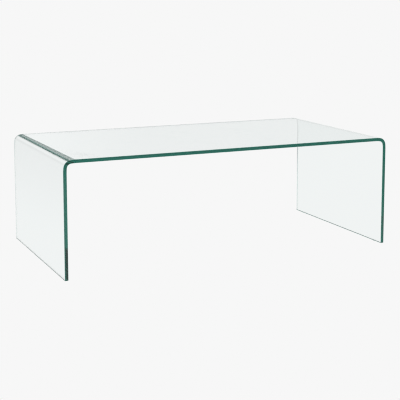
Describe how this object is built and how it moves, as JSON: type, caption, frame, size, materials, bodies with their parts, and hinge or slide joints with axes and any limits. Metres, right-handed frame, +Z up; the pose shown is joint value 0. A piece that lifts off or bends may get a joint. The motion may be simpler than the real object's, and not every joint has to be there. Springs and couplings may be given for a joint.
{
  "type": "coffee table",
  "caption": "Low rectangular table of one thick clear glass sheet, bent down at both ends into its own full-width legs, on small clear floor pads.",
  "frame": {"origin": "on the floor under the middle of the table", "axes": "+Z up, +X along the table's length from the left leg to the right leg, +Y from the front edge to the back edge"},
  "size_m": [1.2, 0.62, 0.39],
  "materials": {
    "clear_glass": "clear toughened float glass with the usual green cast in its thickness; edges ground flat, arrised and polished",
    "clear_pad": "clear soft polyurethane, smooth"
  },
  "bodies": {
    "root": {"bent_glass": "clear_glass", "pad_front_left": "clear_pad", "pad_front_right": "clear_pad", "pad_back_left": "clear_pad", "pad_back_right": "clear_pad"}
  },
  "joints": []
}
